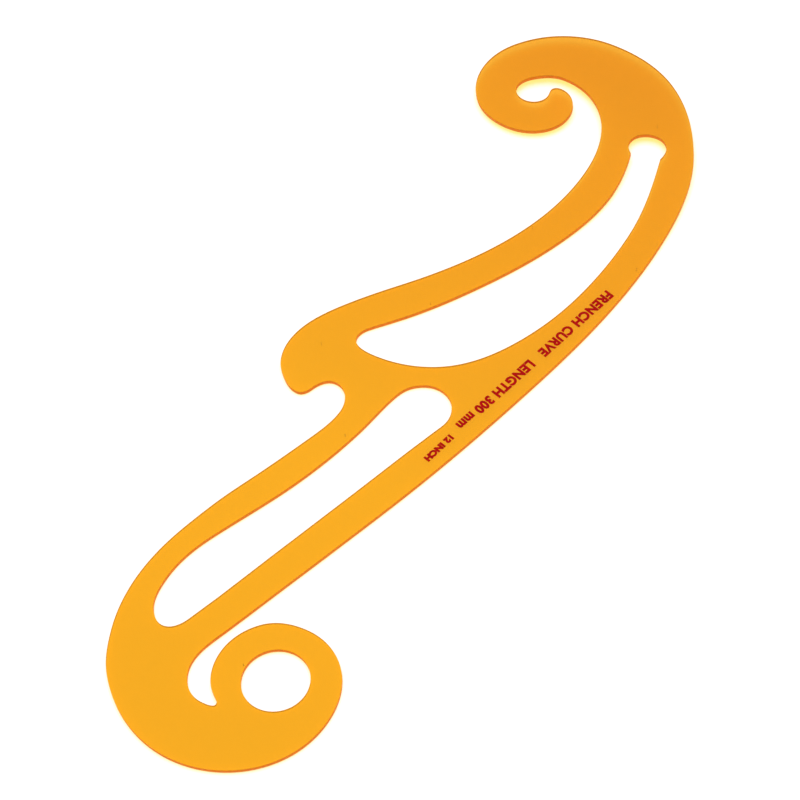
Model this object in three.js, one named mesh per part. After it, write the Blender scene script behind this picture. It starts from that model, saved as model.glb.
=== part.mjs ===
// French curve: one flat sheet of clear orange plastic, cut through with two slots and a ring hole.
//
// The sheet lies on the XY plane with its underside at z = 0 and its long axis along X. The ring
// scroll is at -X and the hook scroll at +X. All sizes are in millimetres and all angles in degrees.

import * as THREE from 'three';

const LENGTH = 300;
const WIDTH = 89.2;
const THICKNESS = 1.5;
const RING_HOLE = { x: -113.3, y: -17, radius: 10.5 };

// The farthest that a chord between two outline points may stand off the true curve.
const CHORD_ERROR = 0.02;

const HALF_LENGTH = LENGTH / 2;
const HALF_WIDTH = WIDTH / 2;

// An edge is a list of stations. Each one is a point of the edge and the heading of the edge there,
// as [x, y, heading], where heading 0 is +X and 90 is +Y.

// The outside edge, counter-clockwise, so that the plastic is on its left.
const OUTSIDE_EDGE = [
  // ring scroll, round the outside of the ring and into the crescent-shaped gap
  [-117, -38, 0],
  [-100.2, -31.7, 45],
  [-94.2, -17, 90],
  [-99, -3, 134],
  [-113, 3.1, 180],
  [-124.5, -1.2, 223],
  // blunt tip of the gap, and back out along its far side
  [-127.3, -4.8, 230],
  [-129.1, -4.8, 118],
  [-129.7, -1, 90],
  [-118.5, 9, 0],
  // straight ruling bar, then the long slow curve under the body
  [-105, 5.2, -20],
  [-45, -16.7, -19.5],
  [15, -34.7, -14.5],
  [80, -HALF_WIDTH, 0],
  [120, -36.8, 28],
  [142.3, -17.6, 56],
  // hook scroll, over its top and round its outer end
  [HALF_LENGTH, 10, 90],
  [145, 29, 119],
  [136, 39.6, 141],
  [122.3, HALF_WIDTH, 180],
  [108.5, 38.8, 226],
  [103.1, 24, 270],
  [116.3, 7.9, 0],
  [125.2, 16, 90],
  // rounded nose of the hook, then the eye of the scroll
  [123.2, 18.8, 178],
  [120.8, 18.5, 180],
  [115.7, 24.5, 90],
  [120.3, 30, 0],
  [127, 25.2, -55],
  [129.7, 17.5, -90],
  // deep sweep back along the upper side of the body
  [120, -1.9, 217],
  [98, -8.4, 180],
  [30, 23.4, 138],
  [14, 36.6, 144],
  [-5.5, HALF_WIDTH, 180],
  // lobe, its small nose and the round bay under it
  [-16.8, 40, 228],
  [-21, 32, 270],
  [-17.8, 28.4, -20],
  [-12.5, 22.8, -90],
  [-21, 15.6, 180],
  // shallow sweep to the top of the ring scroll, and down round its left end
  [-33, 18.5, 159],
  [-60, 29.6, 156],
  [-80, 36.8, 163],
  [-102, 40.4, 180],
  [-121, 37.2, 200],
  [-134.7, 29.9, 221],
  [-HALF_LENGTH, -2, 270],
];

// The two sides of the upper slot, from its round cap to the blunt end and back to the cap.
const UPPER_SLOT_SIDES = [
  [110.8, -18.2, 196],
  [94, -20.7, 180],
  [70, -15.4, 159],
  [40, 0.5, 147],
  [20, 15.2, 139],
  [10.5, 23.8, 138],
  [6.3, 25.6, 180],
  [2.1, 17, 270],
  [8, -5, -59],
  [25, -20.6, -30],
  [50, -30.3, -13],
  [80, -33.6, 0],
  [112.6, -28.2, 15],
];

// The round cap of the upper slot, which meets both sides in a corner.
const UPPER_SLOT_CAP = [
  [112.6, -28.2, -10],
  [116.5, -28.3, 15],
  [120.6, -22.6, 90],
  [115, -15.6, 180],
  [110.8, -18.2, 232],
];

// The lower slot: a round end, a bowed upper side, a narrower round end and a straight lower side.
const LOWER_SLOT = [
  [0, -7.5, 90],
  [-3.1, -0.2, 133],
  [-10, 3.2, 166],
  [-25, 6.1, 167],
  [-60, 18.2, 155],
  [-80, 27.7, 156],
  [-98, 32, 180],
  [-109.5, 29.3, 218],
  [-112.8, 24, 270],
  [-107, 17.8, -20],
  [-15, -15, -19.5],
  [-9, -16.7, 0],
];

// The length of a control arm, as a share of the chord, for a smooth curve that leaves the chord at
// the angle near and meets it at the angle far (Hobby's formula).
function armShare(near, far) {
  const [sinNear, cosNear] = [Math.sin(near), Math.cos(near)];
  const [sinFar, cosFar] = [Math.sin(far), Math.cos(far)];
  const lean = Math.SQRT2 * (sinNear - sinFar / 16) * (sinFar - sinNear / 16) * (cosNear - cosFar);
  const root5 = Math.sqrt(5);
  return (2 + lean) / (3 + 1.5 * (root5 - 1) * cosNear + 1.5 * (3 - root5) * cosFar);
}

// The smallest equal angle, between -180 and 180 degrees, in radians.
function wrapAngle(angle) {
  return Math.atan2(Math.sin(angle), Math.cos(angle));
}

// The curve from one station to the next, as a cubic that follows both headings.
function curveBetween([x0, y0, heading0], [x1, y1, heading1]) {
  const from = new THREE.Vector2(x0, y0);
  const to = new THREE.Vector2(x1, y1);
  const chord = to.clone().sub(from);
  const leaving = wrapAngle(THREE.MathUtils.degToRad(heading0) - chord.angle());
  const arriving = wrapAngle(chord.angle() - THREE.MathUtils.degToRad(heading1));
  const armOut = chord.clone().multiplyScalar(armShare(leaving, arriving));
  const armIn = chord.clone().multiplyScalar(armShare(arriving, leaving));
  armOut.rotateAround(new THREE.Vector2(), leaving);
  armIn.rotateAround(new THREE.Vector2(), -arriving);
  const curve = new THREE.CubicBezierCurve(from, from.clone().add(armOut), to.clone().sub(armIn), to);
  return { curve, turn: Math.abs(leaving) + Math.abs(arriving) };
}

// How many equal chords follow a curve of this length and turn, in radians, within CHORD_ERROR.
function chordCount(length, turn) {
  return Math.max(1, Math.ceil(Math.sqrt((length * turn) / (8 * CHORD_ERROR))));
}

// The points along a list of stations, without the last station's own point.
function edgePoints(stations) {
  const points = [];
  for (let i = 0; i + 1 < stations.length; i += 1) {
    const { curve, turn } = curveBetween(stations[i], stations[i + 1]);
    const chords = chordCount(curve.getLength(), turn);
    points.push(...curve.getPoints(chords).slice(0, -1));
  }
  return points;
}

// A list of stations that ends where it starts.
function closed(stations) {
  return [...stations, stations[0]];
}

function ringHolePoints() {
  const { x, y, radius } = RING_HOLE;
  const fullTurn = 2 * Math.PI;
  const count = chordCount(radius * fullTurn, fullTurn);
  return Array.from({ length: count }, (_, i) => {
    const angle = (i * fullTurn) / count;
    return new THREE.Vector2(x + radius * Math.cos(angle), y + radius * Math.sin(angle));
  });
}

function sheetGeometry() {
  const sheet = new THREE.Shape(edgePoints(closed(OUTSIDE_EDGE)));
  const upperSlot = [...edgePoints(UPPER_SLOT_SIDES), ...edgePoints(UPPER_SLOT_CAP)];
  const lowerSlot = edgePoints(closed(LOWER_SLOT));
  sheet.holes = [upperSlot, lowerSlot, ringHolePoints()].map((points) => new THREE.Path(points));
  return new THREE.ExtrudeGeometry(sheet, { depth: THICKNESS, bevelEnabled: false });
}

function curveSheet() {
  const orangePlastic = new THREE.MeshStandardMaterial({ color: 0xf5a022, roughness: 0.15, metalness: 0 });
  const mesh = new THREE.Mesh(sheetGeometry(), orangePlastic);
  mesh.name = 'curve_sheet';
  return mesh;
}

const frenchCurve = new THREE.Group();
frenchCurve.name = 'french_curve';
frenchCurve.add(curveSheet());

export default frenchCurve;
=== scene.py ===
"""Looks for the french curve: its clear orange sheet, printed legend, white paper and studio light.

Lengths are in metres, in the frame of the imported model: the sheet lies on the XY plane, its underside at
z = 0 and its long axis along X. The outline is taken from the model's own node.
"""

import math

import bmesh
import bpy
from mathutils import Matrix, Vector


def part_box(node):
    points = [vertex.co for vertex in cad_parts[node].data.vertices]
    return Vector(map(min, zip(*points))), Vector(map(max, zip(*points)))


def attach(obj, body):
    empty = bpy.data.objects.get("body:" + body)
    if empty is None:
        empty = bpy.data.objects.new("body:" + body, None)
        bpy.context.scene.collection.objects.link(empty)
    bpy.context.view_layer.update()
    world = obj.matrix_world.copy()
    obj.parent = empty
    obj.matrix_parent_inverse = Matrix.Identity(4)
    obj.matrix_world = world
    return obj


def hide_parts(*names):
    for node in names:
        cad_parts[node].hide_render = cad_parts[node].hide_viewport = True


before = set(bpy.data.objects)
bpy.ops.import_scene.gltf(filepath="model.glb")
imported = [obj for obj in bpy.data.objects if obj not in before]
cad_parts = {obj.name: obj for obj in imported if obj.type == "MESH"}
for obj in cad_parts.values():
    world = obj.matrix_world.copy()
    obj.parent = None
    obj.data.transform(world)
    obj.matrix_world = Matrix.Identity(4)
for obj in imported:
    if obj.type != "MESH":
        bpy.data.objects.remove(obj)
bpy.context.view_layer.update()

MM = 0.001
SHEET_NODE = "curve_sheet"
BOX_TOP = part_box(SHEET_NODE)[1].z

# The legend's ink is the highest thing on the sheet, so the plastic ends a film of ink below the box. The ink
# stays a hair clear of the plastic.
INK_FILM = 0.02 * MM
INK_THICKNESS = 0.9 * INK_FILM
TOP_Z = BOX_TOP - INK_FILM

# Camera: a long lens that looks down at the table.
CAMERA_AZIMUTH = math.radians(51.5)
CAMERA_ELEVATION = math.radians(55)
CAMERA_ROLL = math.radians(-10)
CAMERA_DISTANCE = 0.948
CAMERA_TARGET = Vector((-0.0084, 0.0013, 0))
CAMERA_LENS = 135

# Key light: a large soft lamp, high on the far side of the sheet and a little to one side of the view.
KEY_AZIMUTH = CAMERA_AZIMUTH + math.radians(15)
KEY_ELEVATION = math.radians(74)
KEY_DISTANCE = 4
KEY_SIZE = 4
KEY_POWER = 206
ROOM_BRIGHTNESS = 0.36

# Sheet: its cut edges are lightly rounded, with a narrow rim of faces beside them.
EDGE_RADIUS = 0.08 * MM
EDGE_STEPS = 4
RIM_WIDTH = 0.35 * MM

# Outline: each chord is divided for a smooth edge. A point stays sharp where the outline turns by more
# than this, and by this many times more than at the points beside it.
CHORD_PARTS = 3
CORNER_TURN = math.radians(12)
CORNER_RATIO = 2.5

# Plastic: how it bends light, and how much of each colour is left after one way through the sheet: in what
# is seen through it, and in the lamplight that it lets through to the paper.
PLASTIC_IOR = 1.49
PLASTIC_TINT = (0.955, 0.53, 0.022, 1)
LAMPLIGHT_TINT = (0.99, 0.85, 0.2, 1)

# Cut edges: a thin rough skin, in which the wall of the polished plastic ends. Its colours and glow are
# painted light for the light that travels inside the plastic: a deep orange from outside, painted more golden
# from inside, where it is seen through the plastic, and a glow though the skin is no lamp.
SKIN_DEPTH = 0.03 * MM
BODY_INSET = 0.012 * MM
OUTER_PAINTED_TONES = ((0.6, 0.13, 0.004, 1), (0.76, 0.2, 0.008, 1))
OUTER_PAINTED_GLOW = (0.2, 0.044, 0.002, 1)
INNER_PAINTED_TONES = ((0.66, 0.43, 0.03, 1), (0.74, 0.5, 0.05, 1))
INNER_PAINTED_GLOW = (0.34, 0.2, 0.01, 1)

# Painted shade: the sheet is painted a little deeper in colour towards the hook scroll, for the weaker light
# there.
PAINTED_SHADE_START = -40 * MM
PAINTED_SHADE_END = 140 * MM
PAINTED_SHADE_TINT = (0.865, 0.392, 0.02, 1)

# Specks: tiny dark grains in the plastic, in this share of the cells of a loose pattern.
SPECK_SPACING = 14 * MM
SPECK_RADIUS = 0.16 * MM
SPECK_SHARE = 0.12
SPECK_COLOUR = (0.12, 0.05, 0.03, 1)

# Wear and grain: how fine each pattern is, in waves per metre, and how deep it is.
SMUDGE_SCALE = 40
RIPPLE_SCALE = 90
SCRATCH_SCALE = (60, 4000, 60)
SCRATCH_HEADINGS = (24, -51)
WEAR_DEPTH = 0.002 * MM
TOOL_MARK_SCALE = 1800
TOOL_MARK_STRETCH = 0.05
TOOL_MARK_DEPTH = 0.02 * MM
INK_PATCH_SCALE = 700
INK_GRAIN_SCALE = 4000
INK_GRAIN_DEPTH = 0.004 * MM

# Legend: each line's words, how much bolder than the plain font it is, the height of its capitals, and the
# start and end of its baseline. Its letters stand a little further apart than the font's own.
LEGEND_LINES = {
    "legend_main": (
        "FRENCH CURVE   LENGTH 300 mm", 0.056, 3.8 * MM, (57.3 * MM, -37.6 * MM), (-9.5 * MM, -19.7 * MM)
    ),
    "legend_inch": ("12 INCH", 0.085, 2.5 * MM, (-13.6 * MM, -19.9 * MM), (-24.9 * MM, -17.1 * MM)),
}
LETTER_SPACING = 1.08

# Paper: it lies a hair under the sheet, and sinks a little under the hook scroll.
PAPER_HALF = 3
PAPER_GAP = 0.05 * MM
PAPER_SINK = 2.2 * MM
SINK_START = 60 * MM
SINK_END = 140 * MM
SINK_STEPS = 40


def srgb(red, green, blue):
    """The linear colour of an sRGB colour given in 0 to 255."""
    def linear(value):
        share = value / 255
        return share / 12.92 if share <= 0.04045 else ((share + 0.055) / 1.055) ** 2.4
    return (linear(red), linear(green), linear(blue), 1)


# --- small helpers ---------------------------------------------------------------------------


def new_material(name):
    """An empty node material, with its nodes, links and output node."""
    material = bpy.data.materials.new(name)
    material.use_nodes = True
    nodes, links = material.node_tree.nodes, material.node_tree.links
    nodes.clear()
    return material, nodes, links, nodes.new("ShaderNodeOutputMaterial")


def new_object(name, data):
    """An object with this data, put in the scene."""
    thing = bpy.data.objects.new(name, data)
    bpy.context.scene.collection.objects.link(thing)
    return thing


# --- outline ---------------------------------------------------------------------------------


def outline_loops(node):
    """The loops of points where a flat solid's top face meets its walls, with the solid on their left."""
    solid = bmesh.new()
    solid.from_mesh(node.data)
    bmesh.ops.remove_doubles(solid, verts=solid.verts, dist=1e-7)
    following = {}
    for face in solid.faces:
        if face.normal.z < 0.9:
            continue
        for corner in face.loops:
            if corner.link_loop_radial_next.face.normal.z < 0.9:
                following[corner.vert] = corner.link_loop_next.vert
    loops = []
    while following:
        start = next(iter(following))
        points, vert = [], start
        while vert in following:
            points.append(Vector(vert.co.xy))
            vert = following.pop(vert)
        loops.append(points)
    solid.free()
    return loops


def turn_at(points, i):
    """How far the loop turns at point i, in radians."""
    before = points[i] - points[i - 1]
    after = points[(i + 1) % len(points)] - points[i]
    return before.angle(after)


def circle_tangent(before, here, after):
    """The direction at the middle one of three points, on the circle through them."""
    back, ahead = here - before, after - here
    return (back.normalized() * ahead.length + ahead.normalized() * back.length).normalized()


def smooth_loop(points):
    """The loop with each chord divided along a smooth curve, and its sharp corners kept."""
    count = len(points)
    turns = [turn_at(points, i) for i in range(count)]
    tangents = []
    for i in range(count):
        after = (i + 1) % count
        tangent = circle_tangent(points[i - 1], points[i], points[after])
        is_corner = turns[i] > max(CORNER_TURN, CORNER_RATIO * max(turns[i - 1], turns[after]))
        arriving = (points[i] - points[i - 1]).normalized() if is_corner else tangent
        leaving = (points[after] - points[i]).normalized() if is_corner else tangent
        tangents.append((arriving, leaving))
    smooth = []
    for i in range(count):
        after = (i + 1) % count
        chord = (points[after] - points[i]).length
        start, end = points[i], points[after]
        arm_out, arm_in = tangents[i][1] * chord, tangents[after][0] * chord
        for part in range(CHORD_PARTS):
            t = part / CHORD_PARTS
            smooth.append(
                start * (2 * t**3 - 3 * t**2 + 1)
                + arm_out * (t**3 - 2 * t**2 + t)
                + end * (3 * t**2 - 2 * t**3)
                + arm_in * (t**3 - t**2)
            )
    return smooth


def inward_directions(points):
    """For each point of a loop, the step sideways into the solid that moves both edges in by 1."""
    steps = []
    for i, here in enumerate(points):
        back = (here - points[i - 1]).normalized()
        ahead = (points[(i + 1) % len(points)] - here).normalized()
        along = (back + ahead).normalized()
        inward = Vector((-along.y, along.x))
        steps.append(inward / max(0.5, along.dot(ahead)))
    return steps


# --- sheet -----------------------------------------------------------------------------------


def edge_profile():
    """The section of the polished plastic at a cut edge, from bottom to top, as (inset, height)."""
    turns = [math.pi / 2 * step / EDGE_STEPS for step in range(EDGE_STEPS + 1)]
    arc = [(1 - math.sin(turn), 1 - math.cos(turn)) for turn in turns]
    lower = [(RIM_WIDTH, 0)] + [(BODY_INSET + EDGE_RADIUS * x, EDGE_RADIUS * y) for x, y in arc]
    upper = [(inset, TOP_Z - height) for inset, height in reversed(lower)]
    return lower + upper


def skin_profile():
    """The section of the rough skin on a cut edge."""
    low, high = EDGE_RADIUS, TOP_Z - EDGE_RADIUS
    return [(0, low), (0, high), (SKIN_DEPTH, high), (SKIN_DEPTH, low)]


def swept_rings(mesh, points, profile):
    """A ring of vertices round the loop for each point of the profile."""
    steps = inward_directions(points)
    return [
        [mesh.verts.new((*(point + step * inset), height)) for point, step in zip(points, steps)]
        for inset, height in profile
    ]


def join_rings(mesh, rings):
    """A strip of faces between each ring and the next."""
    strips = []
    for lower, upper in zip(rings, rings[1:]):
        corners = [(lower[i - 1], lower[i], upper[i], upper[i - 1]) for i in range(len(lower))]
        strips.append([mesh.faces.new(four) for four in corners])
    return strips


def finished_mesh(name, mesh):
    """The mesh data of a closed bmesh, smooth shaded and facing out."""
    bmesh.ops.recalc_face_normals(mesh, faces=mesh.faces)
    for face in mesh.faces:
        face.smooth = True
    data = bpy.data.meshes.new(name)
    mesh.to_mesh(data)
    mesh.free()
    return data


def sheet_mesh(loops):
    """The sheet with rounded cut edges."""
    mesh = bmesh.new()
    rims = [[], []]
    for points in loops:
        rings = swept_rings(mesh, points, edge_profile())
        join_rings(mesh, rings)
        for rim, ring in zip(rims, (rings[0], rings[-1])):
            rim += [mesh.edges.get((ring[i - 1], ring[i])) for i in range(len(ring))]
    for rim in rims:
        bmesh.ops.triangle_fill(mesh, use_beauty=True, use_dissolve=False, edges=rim)
    return finished_mesh("sheet", mesh)


def skin_mesh(loops):
    """The rough skin of every cut edge, with a second material on its inner side, painted more golden as if
    lit through the plastic.
    """
    mesh = bmesh.new()
    for points in loops:
        rings = swept_rings(mesh, points, skin_profile())
        # The strips in turn: the outer side, the top, the inner side and the bottom.
        strips = join_rings(mesh, rings + rings[:1])
        for face in strips[2]:
            face.material_index = 1
    return finished_mesh("cut_edges", mesh)


def lets_light_through(surface, nodes, links, output):
    """Puts a surface on its material, and lets lamps shine straight through it, tinted at each face."""
    clear = nodes.new("ShaderNodeBsdfTransparent")
    clear.inputs["Color"].default_value = tuple(math.sqrt(value) for value in LAMPLIGHT_TINT)
    light_path = nodes.new("ShaderNodeLightPath")
    mix = nodes.new("ShaderNodeMixShader")
    links.new(light_path.outputs["Is Shadow Ray"], mix.inputs["Fac"])
    links.new(surface, mix.inputs[1])
    links.new(clear.outputs["BSDF"], mix.inputs[2])
    links.new(mix.outputs["Shader"], output.inputs["Surface"])


def metres(nodes):
    """Where on the piece a point is, in metres."""
    return nodes.new("ShaderNodeTexCoord").outputs["Object"]


def noise(nodes, links, place, scale, detail=2):
    """Soft noise from 0 to 1."""
    texture = nodes.new("ShaderNodeTexNoise")
    texture.inputs["Scale"].default_value = scale
    texture.inputs["Detail"].default_value = detail
    links.new(place, texture.inputs["Vector"])
    return texture.outputs["Fac"]


def ramp(nodes, links, value, low, high, to_low, to_high):
    """The value, taken from the range low to high into the range to_low to to_high."""
    node = nodes.new("ShaderNodeMapRange")
    for socket, number in zip(("From Min", "From Max", "To Min", "To Max"), (low, high, to_low, to_high)):
        node.inputs[socket].default_value = number
    links.new(value, node.inputs["Value"])
    return node.outputs["Result"]


def combine(nodes, links, operation, first, second):
    """One sum or comparison of two values, each a number or a socket."""
    node = nodes.new("ShaderNodeMath")
    node.operation = operation
    for socket, value in zip(node.inputs, (first, second)):
        if isinstance(value, (int, float)):
            socket.default_value = value
        else:
            links.new(value, socket)
    return node.outputs["Value"]


def scratches(nodes, links, place, heading):
    """Fine straight hairlines that run at this heading, as 0 or 1."""
    grain = nodes.new("ShaderNodeMapping")
    grain.inputs["Rotation"].default_value = (0, 0, math.radians(heading))
    grain.inputs["Scale"].default_value = SCRATCH_SCALE
    links.new(place, grain.inputs["Vector"])
    streaks = noise(nodes, links, grain.outputs["Vector"], 1)
    return ramp(nodes, links, streaks, 0.68, 0.74, 0, 1)


def bump(nodes, links, height, depth, surface):
    """Makes a surface look uneven: a height of 1 stands this depth above 0."""
    node = nodes.new("ShaderNodeBump")
    node.inputs["Distance"].default_value = depth
    links.new(height, node.inputs["Height"])
    links.new(node.outputs["Normal"], surface.inputs["Normal"])


def specks(nodes, links, place):
    """1 on a few tiny dark specks in the plastic, 0 elsewhere."""
    cells = nodes.new("ShaderNodeTexVoronoi")
    cells.voronoi_dimensions = "2D"
    cells.inputs["Scale"].default_value = 1 / SPECK_SPACING
    links.new(place, cells.inputs["Vector"])
    near = combine(nodes, links, "LESS_THAN", cells.outputs["Distance"], SPECK_RADIUS / SPECK_SPACING)
    split = nodes.new("ShaderNodeSeparateColor")
    links.new(cells.outputs["Color"], split.inputs["Color"])
    chosen = combine(nodes, links, "GREATER_THAN", split.outputs["Red"], 1 - SPECK_SHARE)
    return combine(nodes, links, "MULTIPLY", near, chosen)


def blend(nodes, links, share, *colours):
    """The first colour where share is 0, and the second where it is 1."""
    node = nodes.new("ShaderNodeMixRGB")
    links.new(share, node.inputs["Fac"])
    for socket, colour in zip((node.inputs["Color1"], node.inputs["Color2"]), colours):
        if isinstance(colour, tuple):
            socket.default_value = colour
        else:
            links.new(colour, socket)
    return node.outputs["Color"]


def orange_plastic():
    """Clear orange plastic with faint smudges, hairline scratches and a few specks in it, and painted shade
    that makes it darker towards the hook scroll.
    """
    material, nodes, links, output = new_material("orange_acrylic")
    place = metres(nodes)
    plastic = nodes.new("ShaderNodeBsdfPrincipled")
    plastic.inputs["IOR"].default_value = PLASTIC_IOR
    plastic.inputs["Transmission Weight"].default_value = 1
    along = nodes.new("ShaderNodeSeparateXYZ")
    links.new(place, along.inputs["Vector"])
    # Painted shade: the colour deepens towards the hook scroll.
    painted_shade_share = ramp(nodes, links, along.outputs["X"], PAINTED_SHADE_START, PAINTED_SHADE_END, 0, 1)
    tint = blend(nodes, links, painted_shade_share, PLASTIC_TINT, PAINTED_SHADE_TINT)
    tint = blend(nodes, links, specks(nodes, links, place), tint, SPECK_COLOUR)
    links.new(tint, plastic.inputs["Base Color"])
    smudges = ramp(nodes, links, noise(nodes, links, place, SMUDGE_SCALE, 4), 0.45, 0.75, 0.02, 0.07)
    links.new(smudges, plastic.inputs["Roughness"])
    one_way, other_way = [scratches(nodes, links, place, heading) for heading in SCRATCH_HEADINGS]
    hairlines = combine(nodes, links, "MAXIMUM", one_way, other_way)
    ripple = noise(nodes, links, place, RIPPLE_SCALE)
    bump(nodes, links, combine(nodes, links, "ADD", hairlines, ripple), WEAR_DEPTH, plastic)
    lets_light_through(plastic.outputs["BSDF"], nodes, links, output)
    return material


def rough_edge_with_painted_light(name, painted_tones, painted_glow):
    """A side of the skin of the cut edges, with painted colour and a painted glow for the light that travels
    inside the sheet.
    """
    material, nodes, links, output = new_material(name)
    place = metres(nodes)
    skin = nodes.new("ShaderNodeBsdfPrincipled")
    upright = nodes.new("ShaderNodeMapping")
    upright.inputs["Scale"].default_value = (1, 1, TOOL_MARK_STRETCH)
    links.new(place, upright.inputs["Vector"])
    tool_marks = noise(nodes, links, upright.outputs["Vector"], TOOL_MARK_SCALE, 3)
    tone = ramp(nodes, links, tool_marks, 0.3, 0.7, 0, 1)
    links.new(blend(nodes, links, tone, *painted_tones), skin.inputs["Base Color"])
    links.new(ramp(nodes, links, tool_marks, 0.3, 0.7, 0.45, 0.65), skin.inputs["Roughness"])
    skin.inputs["Specular IOR Level"].default_value = 0.2
    # Painted light: the skin glows though it is no lamp, for the light that travels inside the sheet.
    skin.inputs["Emission Color"].default_value = painted_glow
    skin.inputs["Emission Strength"].default_value = 1
    bump(nodes, links, tool_marks, TOOL_MARK_DEPTH, skin)
    links.new(skin.outputs["BSDF"], output.inputs["Surface"])
    return material


def make_sheet():
    """The sheet and the skin on its cut edges, in place of the model's plain solid."""
    loops = [smooth_loop(points) for points in outline_loops(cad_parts[SHEET_NODE])]
    sheet = new_object("sheet", sheet_mesh(loops))
    sheet.data.materials.append(orange_plastic())
    edges = new_object("cut_edges", skin_mesh(loops))
    # The skin's two materials carry painted light: deep orange outside, more golden inside, both with a
    # painted glow.
    edges.data.materials.append(rough_edge_with_painted_light("cut_edge_outside_painted_light", OUTER_PAINTED_TONES, OUTER_PAINTED_GLOW))
    edges.data.materials.append(rough_edge_with_painted_light("cut_edge_inside_painted_light", INNER_PAINTED_TONES, INNER_PAINTED_GLOW))
    edges.visible_shadow = False
    for piece in (sheet, edges):
        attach(piece, "root")
    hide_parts(SHEET_NODE)


# --- legend ----------------------------------------------------------------------------------


def solid_lettering(name, words, boldness):
    """The words as a solid mesh that is 1 thick, in the font's own units."""
    curve = bpy.data.curves.new(name, "FONT")
    curve.body = words
    curve.offset = boldness
    curve.space_character = LETTER_SPACING
    # With finer steps the bold outline folds over itself in the letters' tight inner corners.
    curve.resolution_u = 3
    curve.extrude = 0.5
    lettering = new_object(name + "_lettering", curve)
    evaluated = lettering.evaluated_get(bpy.context.evaluated_depsgraph_get())
    solid = bpy.data.meshes.new_from_object(evaluated)
    bpy.data.objects.remove(lettering)
    return solid


def printed_line(name, words, boldness, capitals, start, end, ink):
    """A line of words with capitals of this height, printed on the top face from start to end."""
    solid = solid_lettering(name, words, boldness)
    low = Vector(map(min, zip(*(v.co for v in solid.vertices))))
    high = Vector(map(max, zip(*(v.co for v in solid.vertices))))
    run = Vector(end) - Vector(start)
    fit = Matrix.Diagonal((run.length / (high.x - low.x), capitals / (high.y - low.y), INK_THICKNESS, 1))
    place = Matrix.Translation((*start, BOX_TOP - INK_THICKNESS / 2))
    turn = Matrix.Rotation(math.atan2(run.y, run.x), 4, "Z")
    solid.transform(place @ turn @ fit @ Matrix.Translation((-low.x, 0, 0)))
    solid.materials.clear()
    solid.materials.append(ink)
    line = new_object(name, solid)
    line.visible_shadow = False
    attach(line, "root")


def red_ink():
    """Dark red printing ink, a little uneven and grainy."""
    material, nodes, links, output = new_material("legend_ink")
    place = metres(nodes)
    ink = nodes.new("ShaderNodeBsdfPrincipled")
    unevenness = ramp(nodes, links, noise(nodes, links, place, INK_PATCH_SCALE, 3), 0.35, 0.65, 0, 1)
    links.new(blend(nodes, links, unevenness, srgb(142, 0, 0), srgb(166, 4, 4)), ink.inputs["Base Color"])
    links.new(ramp(nodes, links, unevenness, 0, 1, 0.4, 0.6), ink.inputs["Roughness"])
    ink.inputs["Specular IOR Level"].default_value = 0.15
    bump(nodes, links, noise(nodes, links, place, INK_GRAIN_SCALE), INK_GRAIN_DEPTH, ink)
    links.new(ink.outputs["BSDF"], output.inputs["Surface"])
    return material


def make_legend():
    """The printed lines, all in one ink."""
    ink = red_ink()
    for name, line in LEGEND_LINES.items():
        printed_line(name, *line, ink)


# --- stage -----------------------------------------------------------------------------------


def paper_height(x):
    """How high the paper is at this x: flat, then sinking smoothly under the hook scroll."""
    share = min(1, max(0, (x - SINK_START) / (SINK_END - SINK_START)))
    return -PAPER_GAP - PAPER_SINK * share * share * (3 - 2 * share)


def make_floor():
    """White paper under the sheet."""
    sinking = [SINK_START + (SINK_END - SINK_START) * i / SINK_STEPS for i in range(SINK_STEPS + 1)]
    columns = [-PAPER_HALF, *sinking, PAPER_HALF]
    corners = [(x, y, paper_height(x)) for x in columns for y in (-PAPER_HALF, PAPER_HALF)]
    strips = [(i, i + 2, i + 3, i + 1) for i in range(0, len(corners) - 2, 2)]
    data = bpy.data.meshes.new("floor")
    data.from_pydata(corners, [], strips)
    floor = new_object("floor", data)
    material, nodes, links, output = new_material("white_paper")
    paper = nodes.new("ShaderNodeBsdfPrincipled")
    paper.inputs["Base Color"].default_value = (0.9, 0.9, 0.9, 1)
    paper.inputs["Roughness"].default_value = 0.9
    links.new(paper.outputs["BSDF"], output.inputs["Surface"])
    data.materials.append(material)


def make_room_light():
    """Even white light from all round."""
    world = bpy.data.worlds.new("studio")
    world.use_nodes = True
    background = world.node_tree.nodes["Background"]
    background.inputs["Color"].default_value = (1, 1, 1, 1)
    background.inputs["Strength"].default_value = ROOM_BRIGHTNESS
    bpy.context.scene.world = world


def make_key_light():
    """A square soft light that faces the middle of the sheet, and doesn't show in it or through it."""
    light = bpy.data.lights.new("key_light", "AREA")
    light.shape = "SQUARE"
    light.size = KEY_SIZE
    light.energy = KEY_POWER
    key = new_object("key_light", light)
    across = Vector((math.sin(KEY_AZIMUTH), math.cos(KEY_AZIMUTH), 0)) * math.cos(KEY_ELEVATION)
    key.location = KEY_DISTANCE * (across + Vector((0, 0, math.sin(KEY_ELEVATION))))
    key.rotation_euler = (-key.location).to_track_quat("-Z", "Y").to_euler()
    key.visible_glossy = False
    key.visible_transmission = False


def make_camera():
    """The camera, a step back from its target along its own turned axis."""
    data = bpy.data.cameras.new("camera")
    data.lens = CAMERA_LENS
    data.sensor_width = 36
    data.clip_start = 0.01
    camera = new_object("camera", data)
    turn = Matrix.Rotation(-CAMERA_AZIMUTH, 4, "Z")
    turn @= Matrix.Rotation(math.pi / 2 - CAMERA_ELEVATION, 4, "X")
    turn @= Matrix.Rotation(CAMERA_ROLL, 4, "Z")
    step_back = Matrix.Translation((0, 0, CAMERA_DISTANCE))
    camera.matrix_world = Matrix.Translation(CAMERA_TARGET) @ turn @ step_back
    bpy.context.scene.camera = camera


make_camera()
make_room_light()
make_key_light()
make_floor()
make_sheet()
make_legend()
bpy.context.scene.view_settings.view_transform = "Standard"
